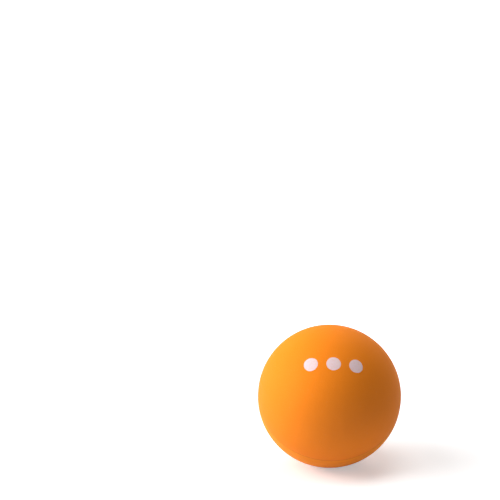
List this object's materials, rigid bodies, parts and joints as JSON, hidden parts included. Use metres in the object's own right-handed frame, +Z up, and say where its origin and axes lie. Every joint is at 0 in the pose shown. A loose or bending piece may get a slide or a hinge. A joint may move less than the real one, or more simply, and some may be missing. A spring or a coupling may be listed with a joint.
{
  "type": "squash ball",
  "caption": "Hollow orange rubber ball for beginners' squash, of half shells cemented rim to rim, with a matt skin and a fine seam line.",
  "frame": {"origin": "centre of the ball", "axes": "+Z up as the ball lies, +X along a diameter in the seam's plane, and the marked half shell's pole 45 degrees above -Y"},
  "size_m": [0.06, 0.06, 0.06],
  "materials": {
    "shell_rubber": "matte",
    "plain_shell_rubber": "matte",
    "rubber_cement": "matte",
    "print_ink": "matte"
  },
  "bodies": {
    "root": {"marked_half_shell": "shell_rubber", "plain_half_shell": "plain_shell_rubber", "seam_cement": "rubber_cement"}
  },
  "joints": []
}
